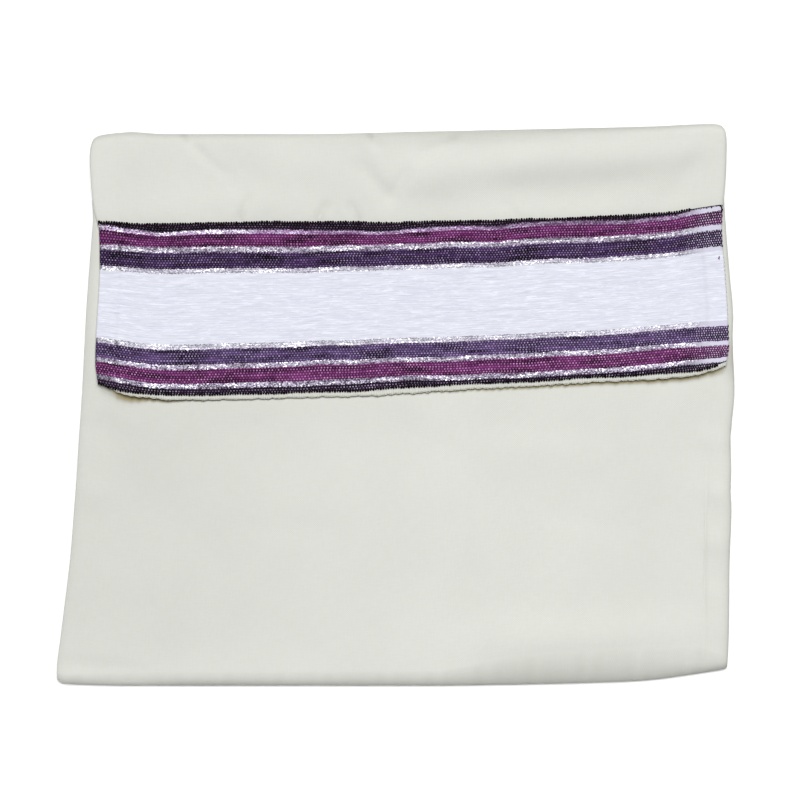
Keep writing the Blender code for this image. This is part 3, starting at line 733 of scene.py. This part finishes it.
def striped_weave():
    """Handwoven band: coloured wool weft over a white cotton warp, with flat silver metal thread."""
    material, put, surface = new_material("handwoven_striped_wool_with_metal_thread", 0.85, 0.05)
    place = put("ShaderNodeUVMap", uv_map="cloth")
    u = put(PARTS, place)
    v = u.node.outputs["Y"]

    # A cell for each crossing where a warp end lies over the weft, staggered row by row
    row = put(OVER, v, PICK)
    row_number = put(WHOLE, row)
    in_row = put(LESS, row, row_number)
    odd = put(REMAINDER, row_number, 2.0)
    # Near the selvedge the warp is set closer and whiter, the wool is beaten darker, and the
    # metal runs out
    selvedge = put(SOFT_RANGE, u, *SELVEDGE)
    inward = put(LESS, 1.0, selvedge)
    closer = put(RANGE, u, *CLOSE_WARP, 0.0, CLOSE_ENDS)
    shifted = put(TIMES_PLUS, odd, 0.5, closer)
    # No row keeps its place exactly
    along_row = put(VECTOR, u, row_number)
    drift = put(NOISE, put(STRETCH, along_row, (0.02, 0.9, 0.0)), 1.0, 1.0)
    shifted = put(TIMES_PLUS, drift, 0.9, shifted)
    end = put(TIMES_PLUS, u, 1 / WARP, shifted)
    end_number = put(WHOLE, end)
    in_end = put(LESS, end, end_number)
    crossing = put(VECTOR, end_number, row_number)
    chance = put("ShaderNodeTexWhiteNoise", crossing, noise_dimensions="2D")

    # Facets of the metal thread, which also fray the edges of the stripes
    facet_place = put(STRETCH, place, (1.5, 1.7, 0.0))
    facets = put("ShaderNodeTexVoronoi", Vector=facet_place, Scale=1.0, voronoi_dimensions="2D")
    facet = put(PARTS, facets.node.outputs["Color"]).node.outputs
    strayed = put(TIMES_PLUS, facet["Y"], FRAY, v)
    yarns, widths, *dyes, warps = zip(*STRIPES)
    whole = sum(widths)
    lowest = LOWEST_STRIPE + FRAY / 2
    share = put(RANGE, strayed, lowest, lowest + whole)

    # What each stripe has of its own, changing sharply where the next one starts
    starts = np.cumsum([0.0, *widths]) / whole
    own = [[linear(code) for code in codes] for codes in dyes]
    own += [[grey(float(yarn == kind)) for yarn in yarns] for kind in ("wool", "metal", "cotton")]
    own.append([grey(warp) for warp in warps])
    ramps = [put(RAMP, share, stops=list(zip(starts, each))) for each in own]
    for ramp in ramps:
        ramp.node.color_ramp.interpolation = "CONSTANT"
    dark, light, tint, wool, silver, white, shows = ramps

    # Unevenly dyed yarn: each row changes tone slowly along its length
    streaks = put(NOISE, put(STRETCH, along_row, (0.045, 0.55, 0.0)), 1.0, 3.0)
    dyed = put(TIMES_PLUS, chance, 0.06, streaks)
    dyed = put(TIMES_PLUS, u, 0.00014, dyed)
    woven = put(BLEND, put(RANGE, dyed, 0.33, 0.73), dark, light)
    # Each row is round, with painted shade where it dips under its neighbours
    from_middle = put(LESS, in_row, 0.5)
    dip = put(TIMES, from_middle, from_middle)
    painted_dip_shade = put(RANGE, put(TIMES, dip, wool), 0.0, 0.25, 1.0, 0.72)
    beaten = put(RANGE, put(TIMES, selvedge, wool), 0.0, 1.0, 1.0, 0.72)
    for shade in (painted_dip_shade, beaten):
        woven = put(SCALE, woven, shade)

    # Silver metal thread: flat foil, with painted glints: facets are painted brighter, some up to white,
    # where a lit facet would shine. The uppermost row of it is thinly covered, except in the band's left
    # third
    gather = put(NOISE, put(STRETCH, place, (0.06, 0.35, 0.0)), 1.0, 2.0)
    gathered = put(RANGE, gather, 0.35, 0.65, -0.2, 0.17)
    painted_glint = put(SUM, facet["X"], gathered)
    top_row = put(ABOVE, share, float(starts[-3]))
    thin = put(RANGE, u, *THIN_FOIL, 0.08, -0.24)
    painted_glint = put(TIMES_PLUS, top_row, thin, painted_glint)
    foil = put(BLEND, put(RANGE, painted_glint, 0.1, 0.84), dark, light)
    foil = put(BLEND, put(RANGE, painted_glint, 0.86, 1.14), foil, linear("FFFFFF"))
    # The metal thread runs out before the selvedge, where white weft takes its place
    metal = put(TIMES, silver, inward)
    woven = put(BLEND, silver, woven, linear("CDCBDC"))
    woven = put(BLEND, metal, woven, foil)

    # Warp ends: pale ovals over the weft, in some rows more than in others, and more to the right
    cell = put(VECTOR, in_end, in_row)
    oval = (1 / OVAL[0], 1 / OVAL[1], 0.0)
    from_oval = put(STRETCH_MOVE, cell, oval, tuple(-0.5 * side for side in oval))
    dot = put(SOFT_RANGE, put(LENGTH, from_oval), 1.4, 0.4)
    loose = put(NOISE, put(STRETCH, along_row, (0.03, 0.8, 0.0)), 1.0, 2.0)
    loose = put(RANGE, loose, 0.36, 0.66, 0.4, 1.0)
    uneven = put(RANGE, chance, 0.0, 1.0, 0.25, 1.15)
    rightwards = put(RANGE, u, -170.0, 170.0, 0.85, 1.12)
    dot_at_end = put(TIMES, dot, uneven)
    seen = dot_at_end
    for factor in (loose, shows, rightwards):
        seen = put(TIMES, seen, factor)
    seen = put(BETWEEN, selvedge, seen, put(TIMES, dot_at_end, wool))
    woven = put(BLEND, seen, woven, put(BLEND, selvedge, tint, linear("CBBFD8")))

    # The white stripe is slub cotton, with thicker and thinner places; the thicker ones are painted
    # lighter and the thinner ones darker, as painted highlight and shade, and they also stand up in the
    # relief
    slub_place = put(STRETCH, place, (0.13, 1.1, 0.0))
    slub = put(NOISE, slub_place, 1.0, 2.0, Distortion=0.7)
    thickness = put(RANGE, slub, 0.46, 0.66, 0.982, 1.11)
    thickness = put(BETWEEN, white, 1.0, thickness)
    woven = put(SCALE, woven, thickness)
    plug(surface["Base Color"], woven)
    plug(surface["Metallic"], put(TIMES, metal, 0.35))
    plug(surface["Roughness"], put(RANGE, metal, 0.0, 1.0, 0.85, 0.4))

    # Relief: round rows, warp ends over them, facets of foil, slubs
    relief = put(TIMES, dip, put(RANGE, metal, 0.0, 1.0, -1.6, -0.3))
    crumpled = put(TIMES, facet["Z"], metal)
    for part, height in ((dot, 0.2), (crumpled, 0.8), (thickness, 5.0)):
        relief = put(TIMES_PLUS, part, height, relief)
    bump = put(BUMP, Height=relief, Strength=0.5, Distance=0.0003)
    plug(surface["Normal"], bump)
    return material


def thread(name, code):
    """Spun thread: matt, with strands 0.45 mm apart that show as fine slanting ridges."""
    material, put, surface = new_material(name, 0.8, 0.06)
    place = put("ShaderNodeTexCoord").node.outputs["Object"]
    strands = put("ShaderNodeTexWave", place, 700.0, 1.5, bands_direction="DIAGONAL")
    strands = strands.node.outputs["Fac"]
    base = linear(code)
    # The colour is painted darker between the strands: painted shade in their grooves
    low = tuple(c * 0.72 for c in base[:3]) + (1.0,)
    plug(surface["Base Color"], put(RAMP, strands, stops=[(0.1, low), (0.8, base)]))
    bump = put(BUMP, Height=strands, Strength=0.3, Distance=0.0001)
    plug(surface["Normal"], bump)
    return material


# ---------------------------------------------------------------- cloth


def spaced(length, first, pitch):
    """Distances from 0 to length: the first ones as listed from both ends, even between."""
    count = max(2, round((length - 2 * first[-1]) / pitch))
    middle = np.linspace(first[-1], length - first[-1], count + 1)[1:-1]
    return np.array([*first, *middle, *(length - f for f in reversed(first))])


# How the shawl's points are spaced: across it from its hems, and along it from its free edge
WIDTH = 380.0
PITCH = 2.1
HEM_COLUMNS = (0, 0.2, 0.5, 0.9, 1.6, 3.0, 4.8, 7.0, 9.4, 11.6, 13.2, 14.2, 14.7, 15.0, 15.3, 15.8, 16.8)
TURNED_LENGTH = 150.0
EDGE_COLUMNS = (0, 0.2, 0.5, 0.9, 1.6, 2.6, 4.4)
EDGE_ROWS = (-5.0, -4.0, -3.1, -2.3, -1.6, -1.0, -0.4, 0.4, 1.5, 4.0)
TURNED_ROWS, UNDER_ROWS, SHOWN_ROWS, COVERED_ROWS = 76, 11, 78, 13


def shawl_cloth(material):
    """The stretches that show, in one sheet: turned-down end, top fold, underside, bottom fold, front."""
    shares = spaced(WIDTH, HEM_COLUMNS, PITCH)[None, :] / WIDTH
    high, top_turn = top_centre(shares)
    low, bottom_turn = bottom_centre(shares)
    start = meeting(turned_sides, shares, free_y, about=8.0)
    *first_rows, even_from = (e / TURNED_LENGTH for e in EDGE_COLUMNS)
    down = np.array([*first_rows, *np.linspace(even_from, 1, TURNED_ROWS)])[:, None]
    turned = run(turned_sides, shares, mix(start, high, down), turned_faces)
    height = turned[0][-1:, :, 2]
    top = half_turn(turned_sides, shares, high, top_turn, height, height / 2, steps=14, way=1)
    under_y = mix(high, low, np.linspace(0, 1, UNDER_ROWS)[:, None])
    under = run(under_sides, shares, under_y, under_faces)
    end = meeting(front_sides, shares, free_line, about=8.0)
    near_edge = end + np.array(EDGE_ROWS)[:, None]
    shown_y = mix(low, end - 6, np.linspace(0, 1, SHOWN_ROWS)[:, None])
    shown = run(front_sides, shares, np.concatenate([shown_y, near_edge]), front_faces)
    covered_y = mix(end + 8, high - 1, np.linspace(0, 1, COVERED_ROWS)[:, None])
    covered = run(front_sides, shares, covered_y, front_faces)
    height = shown[0][:1, :, 2]
    bottom = half_turn(front_sides, shares, low, bottom_turn, height, FOLD_APEX, steps=16, way=-1)
    bottom = [face[::-1] for face in bottom]
    # The stretches, every how many of their rows the inner face keeps, and what their painted shade
    # follows
    stretches = (
        (turned, 5, turned_sides, False),
        (top, 2, turned_sides, False),
        (under, 2, front_sides, False),
        (bottom, 2, front_sides, False),
        (shown, 5, front_sides, True),
        (covered, 1, front_sides, True),
    )
    outer, inner = (np.concatenate([stretch[0][face] for stretch in stretches]) for face in (0, 1))
    middle = outer[:, outer.shape[1] // 2]
    along = np.concatenate([[0], np.cumsum(np.linalg.norm(np.diff(middle, axis=0), axis=1))])
    uv = joined(shares * WIDTH, along[:, None])
    # The inner face keeps every row of the free edge, and every few rows of the rest
    keep_rows, first = list(range(len(EDGE_COLUMNS))), 0
    for points, step, _, _ in stretches:
        last = first + len(points[0]) - 1
        keep_rows += [r for r in (*range(first, last, step), last) if r > keep_rows[-1]]
        first = last + 1
    total, hems = shares.shape[1], len(HEM_COLUMNS)
    keep_columns = [*range(hems), *range(hems + 3, total - hems - 2, 5), *range(total - hems, total)]
    made = closed_wall("shawl_cloth", outer, inner, keep_rows, keep_columns, uv, material)
    looks = np.concatenate([painted_shade(points[0], sides, front) for points, _, sides, front in stretches])
    looks = np.concatenate([looks.ravel(), looks[np.ix_(keep_rows, keep_columns)].ravel()])
    made.data.attributes.new("painted_shade", "FLOAT", "POINT").data.foreach_set("value", looks.astype(np.float32))
    return made


def band_y(x, v):
    """How high up the band's own heights v run at places x, along its uneven rows."""
    at = [line(x) for line in band_lines]
    at = [at[0] - BEYOND, *at, at[-1] + BEYOND]
    knots = [BAND_LINES[0] - BEYOND, *BAND_LINES, BAND_LINES[-1] + BEYOND]
    y = 0.0 * x + 0.0 * v
    for low, high, y_low, y_high in zip(knots, knots[1:], at, at[1:]):
        share = np.clip((v - low) / (high - low), 0, 1)
        y = y + share * (y_high - y_low)
    return at[0] + y


def band_side(v, side):
    """The x and y of one end of the band's rows at its own heights v."""
    x = np.full_like(v, BAND_ENDS[side])
    for _ in range(4):
        y = band_y(x, v)
        x = turned_sides[side](y) + (-BAND_INSET if side else BAND_INSET)
    return x, y


def band_v(x, edge):
    """The band's own height of one of its edges at places x."""
    v = np.where(edge > band_lines[2](x), BAND_EDGES[1], BAND_EDGES[0])
    for _ in range(5):
        v = v + edge - band_y(x, v)
    return v


def slubs(u, v, seed, count=520):
    """Thicker places in the white weft: low ridges of uneven length, each a little wavy."""
    draw = np.random.default_rng(seed)
    total = np.zeros(v.shape)
    for _ in range(count):
        u0, v0 = draw.uniform(-176, 196), draw.uniform(-20, 20)
        length, width = draw.uniform(1.5, 6.5), draw.uniform(0.4, 0.6)
        height, wave = draw.uniform(0.2, 0.55) ** 1.6, draw.uniform(0.1, 0.5)
        lean = draw.uniform(-0.05, 0.05)
        cols = np.abs(u[0] - u0) < 2.2 * length
        du = u[:, cols] - u0
        dv = v[:, cols] - v0 - lean * du - wave * np.sin(du / length * 2.5)
        total[:, cols] += height * np.exp(-((du / length) ** 2) - (dv / width) ** 2)
    return total


def striped_band(material):
    """The band on the turned-down end, its rows of weft and the warp over them as low relief."""
    # A column for each warp end and each gap, a line for each weft row and each gap
    u = np.arange(*WARP_REACH, WARP / 2)
    u = np.array([*(u[0] - FIRST_COLUMNS), *u, *(u[-1] + LAST_COLUMNS)])[None, :]
    shares = (u - u[0, 0]) / (u[0, -1] - u[0, 0])
    x = across(turned_sides, shares, BAND_MIDDLE)
    v_low, v_high = band_v(x, band_low(x)), band_v(x, band_high(x))
    steps = np.array(RIM_LINES)[:, None]
    rim = np.linspace(0, 1, 11)[1:-1, None]
    half_rows = np.arange(-HALF_LINES, HALF_LINES + 1)[:, None] * PICK / 2
    v = np.concatenate([
        v_low + steps, mix(v_low + steps[-1], half_rows[0], rim), half_rows + 0 * u,
        mix(half_rows[-1], v_high - steps[-1], rim), v_high - steps[::-1],
    ])
    left, _ = band_side(v[:, :1], 0)
    right, _ = band_side(v[:, -1:], 1)
    x = mix(left, right, shares)
    y = band_y(x, v)
    from_edge = np.minimum(v - v[0], v[-1] - v)
    from_end = np.minimum(x - left, right - x)
    turned = [ease((BAND_TURN + 1 - from_edge) / 2), ease((BAND_END_TURN + 1 - from_end) / 2)]
    white = ease((WHITE_HALF - np.abs(v)) / 1.5)
    row = np.floor(v / PICK + 0.25)
    on_row = np.round(2 * v / PICK) % 2
    warp_over = on_row * ((np.round(u / (WARP / 2)) + row) % 2)
    relief = (ROW_RISE * on_row + WARP_RISE * warp_over) * (1 - 0.75 * white) * (np.abs(v) < ROWS_HALF)
    relief = relief + white * slubs(u + 0 * v, v, seed=21) * SLUB_RISE
    relief = relief + 0.1 * (1 - white) * unevenness(x * 0.5, y, length=9.0, seed=22)
    inside = np.minimum(from_edge, from_end)
    thick = BAND + BAND_RISE * np.maximum(*turned) + relief * ease(inside / 1.5)
    points = [joined(x, y, z) for z in rounded(under_band(x, y), thick, inside)]
    keep = [[0, 1, 2, 3, *range(14, count - 10, 12), *range(count - 4, count)] for count in x.shape]
    return closed_wall("striped_band", *points, *keep, joined(u, v), material)


def inner_layers(material, rows_each=36, turn_steps=8):
    """The three layers folded away inside, one cloth turning back and forth between the folds."""
    shares = spaced(LAYER_WIDTH, HIDDEN_COLUMNS, COLUMN_PITCH)[None, :] / LAYER_WIDTH
    high, top_turn = top_centre(shares)
    low, bottom_turn = bottom_centre(shares)
    low = low - LAYER_REACH[0] * (bottom_turn - CLOTH)
    high = high + LAYER_REACH[1] * (top_turn - CLOTH)
    half = HIDDEN_PITCH / 2
    rows = []
    for level in reversed(range(HIDDEN_LAYERS)):
        z = CLOTH + GAP + (level + 0.5) * HIDDEN_PITCH
        way = 1 if level == 1 else -1
        for t in np.linspace(0, 1, rows_each):
            rows.append((mix(low, high, t if way > 0 else 1 - t), z, level, 0.0, -way))
        for k in range(1, turn_steps if level else 1):
            angle = math.pi * k / turn_steps
            y = (high if way > 0 else low) + way * half * math.sin(angle)
            z_turn = z - half + half * math.cos(angle)
            rows.append((y, z_turn, level - k / turn_steps, math.sin(angle), -way * math.cos(angle)))
    y, z, level, out, up = (np.concatenate([row[k] + 0 * shares for row in rows]) for k in range(5))
    inset = np.interp(level, range(HIDDEN_LAYERS), LAYER_INSETS)
    sides = [front_sides[0](y) + inset, front_sides[1](y) - inset]
    for side, waves in enumerate(LAYER_WAVES):
        for far, shift, length, seed in waves:
            sides[side] = sides[side] + far * wander(y + shift * level, length, seed)
    left, right = sides
    x = mix(left, right, shares)
    z = z - (FRONT_TOP - resting_height(x, y)) * z / FRONT_TOP
    thick = LAYER_HALF * edge_share(np.minimum(x - left, right - x))
    way = np.where(level % 1 == 0, 0.0, 1.0) * np.where(level > 1, -1.0, 1.0)
    faces = [joined(x, y + side * thick * out * way, z + side * thick * up) for side in (1, -1)]
    uv = joined(x, np.cumsum(np.ones_like(x), axis=0) * ROW_PITCH)
    every = [list(range(count)) for count in x.shape]
    return closed_wall("inner_layers", *faces, *every, uv, material)


# ---------------------------------------------------------------- sewing


# Where the sewing along the free edge, the band's two edges and its selvedge runs
FREE_ENDS = (-173.5, 192.5)
UPPER_ENDS = (173.0, -174.5)
LOWER_ENDS = (-174.5, 189.0)
MAGENTA_TURNS = ((37.0, 43.5), (-43.0, -36.5))
VIOLET_TURNS = ((23.0, 32.0), (-31.5, -24.5))
WHITE_TURNS = ((-19.0, 17.0),)


def stitches_tree():
    """Stitches along a path: one every so often, turned to follow it, a little uneven in size."""
    tree = bpy.data.node_groups.new("stitches_along_a_path", "GeometryNodeTree")
    for name, kind in (
        ("Path", "Geometry"),
        ("Stitch", "Object"),
        ("Spacing", "Float"),
        ("Unevenness", "Float"),
        ("Seed", "Int"),
        ("Thread", "Material"),
    ):
        tree.interface.new_socket(name=name, in_out="INPUT", socket_type="NodeSocket" + kind)
    tree.interface.new_socket(name="Stitches", in_out="OUTPUT", socket_type="NodeSocketGeometry")
    put = partial(add, tree)
    given = put("NodeGroupInput").node.outputs
    curve = put("GeometryNodeMeshToCurve", given["Path"])
    points = put("GeometryNodeResampleCurve", Curve=curve, Length=given["Spacing"], mode="LENGTH")
    stitch = put("GeometryNodeObjectInfo", Object=given["Stitch"]).node.outputs["Geometry"]
    tangent = put("GeometryNodeInputTangent")
    turn = put("FunctionNodeAlignEulerToVector", Vector=tangent, axis="X", pivot_axis="Z")
    least, most = (put(kind, 1.0, given["Unevenness"]) for kind in (LESS, SUM))
    size = put("FunctionNodeRandomValue", Min=least, Max=most, Seed=given["Seed"], data_type="FLOAT")
    placed = put(
        "GeometryNodeInstanceOnPoints", Points=points, Instance=stitch, Rotation=turn, Scale=size
    )
    real = put("GeometryNodeRealizeInstances", placed)
    coloured = put("GeometryNodeSetMaterial", Geometry=real, Material=given["Thread"])
    put("NodeGroupOutput", coloured)
    return tree


def sew(name, tree, paths, stitch, material, spacing, uneven, seed):
    """Puts stitches along paths, each a list of points in millimetres, as one plain mesh."""
    mesh = bpy.data.meshes.new(name)
    points, edges = [], []
    for path in paths:
        edges += [(len(points) + k, len(points) + k + 1) for k in range(len(path) - 1)]
        points += (path * MM).tolist()
    mesh.from_pydata(points, edges, [])
    made = bpy.data.objects.new(name, mesh)
    bpy.context.scene.collection.objects.link(made)
    modifier = made.modifiers.new("stitches", "NODES")
    modifier.node_group = tree
    values = {
        "Stitch": stitch, "Spacing": spacing * MM, "Unevenness": uneven, "Seed": seed,
        "Thread": material,
    }
    for item in tree.interface.items_tree:
        if item.name in values:
            modifier[item.identifier] = values[item.name]
    whole = bpy.data.meshes.new_from_object(made.evaluated_get(bpy.context.evaluated_depsgraph_get()))
    made.modifiers.remove(modifier)
    made.data = whole
    whole.name = name
    whole.shade_smooth()
    return made


def yarn(name, points, radii, material, sides=6):
    """A tube of yarn through points in millimetres, closed at both ends."""
    points = np.asarray(points, float)
    tangents = np.gradient(points, axis=0)
    tangents /= np.linalg.norm(tangents, axis=1)[:, None]
    reference = np.array([1.0, 0.0, 0.0]) if abs(tangents[0][0]) < 0.8 else np.array([0.0, 0.0, 1.0])
    ring, faces = [], []
    for point, tangent, radius in zip(points, tangents, radii):
        side = np.cross(tangent, reference)
        side /= np.linalg.norm(side)
        up = np.cross(side, tangent)
        for j in range(sides):
            angle = 2 * math.pi * j / sides
            ring.append(point + radius * (math.cos(angle) * side + math.sin(angle) * up))
    for k in range(len(points) - 1):
        for j in range(sides):
            a, b = k * sides + j, k * sides + (j + 1) % sides
            faces.append([a, b, b + sides, a + sides])
    faces.append(list(range(sides))[::-1])
    faces.append([(len(points) - 1) * sides + j for j in range(sides)])
    return mesh_object(name, ring, faces, material)


def stitch_shape(name, points, radii, material):
    """One stitch, for sew() to repeat. Its x runs along the path and its outside is at -y."""
    made = yarn(name, points, radii, material)
    bpy.context.scene.collection.objects.unlink(made)
    return made


def wrap(reach_in, low, out, radius, lean, points=9):
    """A thread from the upper face, over the edge, to the lower face: its points and radii."""
    turns = np.linspace(0.0, 1.0, points)
    angle = math.pi * (turns - 0.5)
    y = -out * np.cos(angle)
    y[0], y[-1] = reach_in, reach_in * 0.8
    return joined(lean * (0.5 - turns), y, -low / 2 - low / 2 * np.sin(angle)), np.full(points, radius)


def serge(tree):
    """Serging along the free edge: loops of thread, and the cord that they make at the very edge."""
    cream_thread = thread("serging_thread_cream", "D2D2C8")
    x = np.linspace(*FREE_ENDS, 700)
    y = free_y(x)
    top, _ = turned_faces(x, y + 1.2)
    shape = wrap(reach_in=3.0, low=CLOTH + 0.1, out=0.22, radius=0.17, lean=0.9)
    loop = stitch_shape("serging_loop", *shape, cream_thread)
    path = joined(x, y, top + 0.03)
    loops = sew("serging", tree, [path], loop, cream_thread, spacing=1.35, uneven=0.12, seed=5)
    edge, _ = turned_faces(x, y + 0.01)
    cord_y = y - 0.2 + 0.06 * wander(x, 1.7, seed=41)
    path = joined(x, cord_y, edge - 0.1 + 0.05 * wander(x, 2.1, seed=42))
    return loops, yarn("serging_edge", path, np.full(len(x), 0.24), cream_thread)


def band_edges(tree, plum_yarn):
    """Loops of plum yarn along the band's two long edges."""
    points, radii = wrap(reach_in=1.3, low=BAND + BAND_RISE, out=0.3, radius=0.46, lean=0.5)
    thicker = (0.5, 0.9, 1.2, 1.4, 1.4, 1.4, 1.2, 0.9, 0.5)
    bead = stitch_shape("weft_bead", points, radii * thicker, plum_yarn)
    for name, edge_y, ends, inwards, seed in (
        ("band_edge_upper", band_high, UPPER_ENDS, -1, 6),
        ("band_edge_lower", band_low, LOWER_ENDS, 1, 7),
    ):
        x = np.linspace(*ends, 500)
        y = edge_y(x)
        path = joined(x, y, on_band(x, y + inwards))
        yield sew(name, tree, [path], bead, plum_yarn, spacing=1.5, uneven=0.22, seed=seed)


def selvedge_loops(tree, plum_yarn):
    """Weft loops where the coloured and white yarns turn back at the band's selvedge."""
    reach, rise, drop, radius, height = 0.62, 1.3, 0.4, 0.42, BAND + 0.2
    angle = np.linspace(0, math.pi, 8)
    points = joined(reach * np.cos(angle), 1.1 - rise * np.sin(angle), 0 * angle - drop)
    turn = stitch_shape("weft_turn", points, np.full(8, radius), plum_yarn)
    for colour, code, stretches in (
        ("magenta", "6E2C64", MAGENTA_TURNS),
        ("violet", "43345A", VIOLET_TURNS),
        ("white", "DADAE2", WHITE_TURNS),
    ):
        paths = []
        for stretch in stretches:
            x, y = band_side(np.linspace(*stretch, 25), 1)
            paths.append(joined(x, y, under_band(x - 1, y) + height))
        dyed = thread("band_yarn_" + colour, code)
        yield sew("selvedge_" + colour, tree, paths, turn, dyed, spacing=2.48, uneven=0.15, seed=8)


def corner_yarns(plum_yarn):
    """A plum yarn's end, which runs along the upper edge and hooks down at the corner, and a bar tack."""
    x = np.array([173, 176, 179, 182, 185, 188, 190.3, 191.5, 191.9, 191.5])
    y = band_high(x) - (0.1, 0.1, 0.1, 0.1, 0.1, 0.1, 0.2, 1.0, 2.4, 4.2)
    radii = (0.3, 0.1, 0.13, 0.06, 0.13, 0.08, 0.3, 0.45, 0.5, 0.35)
    yield yarn("plum_yarn_end", joined(x, y, on_band(x, y) + 0.1), radii, plum_yarn)
    x, y = 190.3 + np.array([0.3, 0.1, -0.1, 0.2]), np.array([87.4, 86.8, 86.0, 85.4])
    path = joined(x, y, on_band(x, y) + (-0.1, 0.2, 0.2, -0.1))
    yield yarn("violet_bar_tack", path, (0.25, 0.5, 0.5, 0.25), thread("bar_tack_violet", "7A5C92"))


def main():
    cream, striped = cream_cloth(), striped_weave()
    cloth, band, inner = shawl_cloth(cream), striped_band(striped), inner_layers(cream)
    tree = stitches_tree()
    serging, cord = serge(tree)
    plum_yarn = thread("band_yarn_plum", "160714")
    sewn = [*band_edges(tree, plum_yarn), *selvedge_loops(tree, plum_yarn), *corner_yarns(plum_yarn)]

    for piece in (cloth, inner, serging, cord):
        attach(piece, "root")
    for piece in (band, *sewn):
        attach(piece, "root")
    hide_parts("turned_down_end", "front_and_underside")
    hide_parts("hidden_layers")
    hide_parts("woven_band")


def studio():
    """A plain pale floor, soft light from beyond the top fold, and the camera straight above."""
    scene = bpy.context.scene
    mesh = bpy.data.meshes.new("floor")
    half, below = 40.0, -GAP * MM
    corners = [(x, y, below) for x, y in ((-half, -half), (half, -half), (half, half), (-half, half))]
    mesh.from_pydata(corners, [], [(0, 1, 2, 3)])
    floor = bpy.data.objects.new("floor", mesh)
    scene.collection.objects.link(floor)
    material, _, surface = new_material("white_studio_paper", 0.9)
    plug(surface["Base Color"], linear("FCFCFC"))
    mesh.materials.append(material)

    # The room: dim overhead, so that folds and rims keep their shade, and pale round the horizon
    world = bpy.data.worlds.new("studio")
    world.use_nodes = True
    put = partial(add, world.node_tree)
    way = put(PARTS, put("ShaderNodeTexCoord")).node.outputs["Z"]
    room = put(RAMP, way, stops=[(0.0, grey(0.8)), (0.08, grey(0.45)), (0.25, grey(0.1))])
    plug(world.node_tree.nodes["Background"].inputs["Color"], room)
    scene.world = world

    data = bpy.data.lights.new("softbox", "SUN")
    data.angle = math.radians(26)
    data.energy = 3.35
    lamp = bpy.data.objects.new("softbox", data)
    lamp.location = (0.05, 0.56, 2.25)
    lamp.rotation_euler = (-lamp.location).to_track_quat("-Z", "Y").to_euler()
    scene.collection.objects.link(lamp)

    lens = bpy.data.cameras.new("camera")
    lens.sensor_width = 36.0
    lens.lens = 180.0
    camera = bpy.data.objects.new("camera", lens)
    width_seen, x, y, cloth_top = 0.4720, 0.00265, 0.00279, 0.006
    camera.location = (x, y, width_seen * lens.lens / lens.sensor_width + cloth_top)
    scene.collection.objects.link(camera)
    scene.camera = camera
    scene.view_settings.view_transform = "Standard"


studio()
main()
